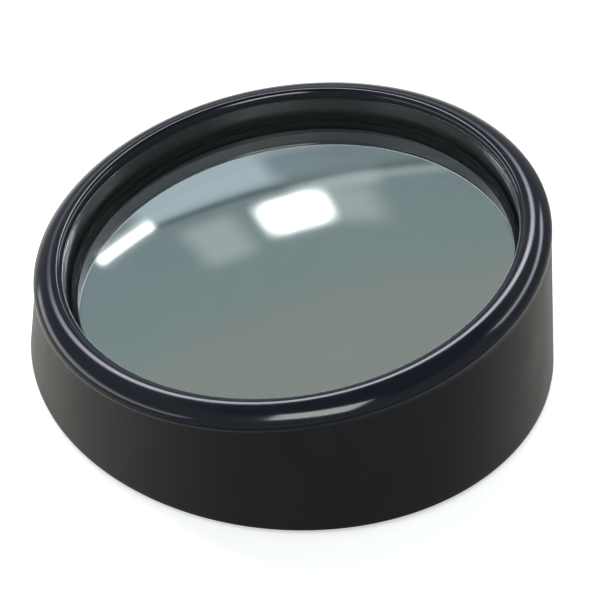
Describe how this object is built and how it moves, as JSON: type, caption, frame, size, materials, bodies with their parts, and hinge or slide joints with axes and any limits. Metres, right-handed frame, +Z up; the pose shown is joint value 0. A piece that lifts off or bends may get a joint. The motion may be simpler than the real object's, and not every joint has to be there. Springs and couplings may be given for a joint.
{
  "type": "convex stick-on mirror",
  "caption": "Small round convex wide-angle mirror, recessed under the rounded rim of a black wedge-shaped plastic housing with an adhesive foam pad underneath.",
  "frame": {"origin": "centre of the housing's round foot, at the underside of the release liner that the mirror stands on", "axes": "+Z up, square to the mounting face; +X towards the thick side of the wedge; the mirror's axis lies in the XZ plane and leans 10 degrees from +Z towards -X"},
  "size_m": [0.0508, 0.0508, 0.0184],
  "materials": {
    "black_housing": "black moulded plastic: polished rim, satin wall",
    "mirror_glass": "clear, polished convex glass with a ground edge",
    "reflective_coating": "bright metal mirror film",
    "backing_paint": "matte grey protective paint",
    "tape_foam": "white closed-cell foam",
    "adhesive": "tacky clear acrylic film",
    "black_plate": "black moulded plastic, matte",
    "pad_foam": "black closed-cell foam",
    "liner_paper": "smooth coated release film, red"
  },
  "bodies": {
    "root": {"housing": "black_housing", "mirror_glass": "mirror_glass", "reflective_coating": "reflective_coating", "backing_paint": "backing_paint", "glass_tape_upper_adhesive": "adhesive", "glass_tape_foam": "tape_foam", "glass_tape_lower_adhesive": "adhesive", "base_plate": "black_plate", "pad_upper_adhesive": "adhesive", "pad_foam": "pad_foam", "pad_lower_adhesive": "adhesive", "release_liner": "liner_paper"}
  },
  "joints": []
}
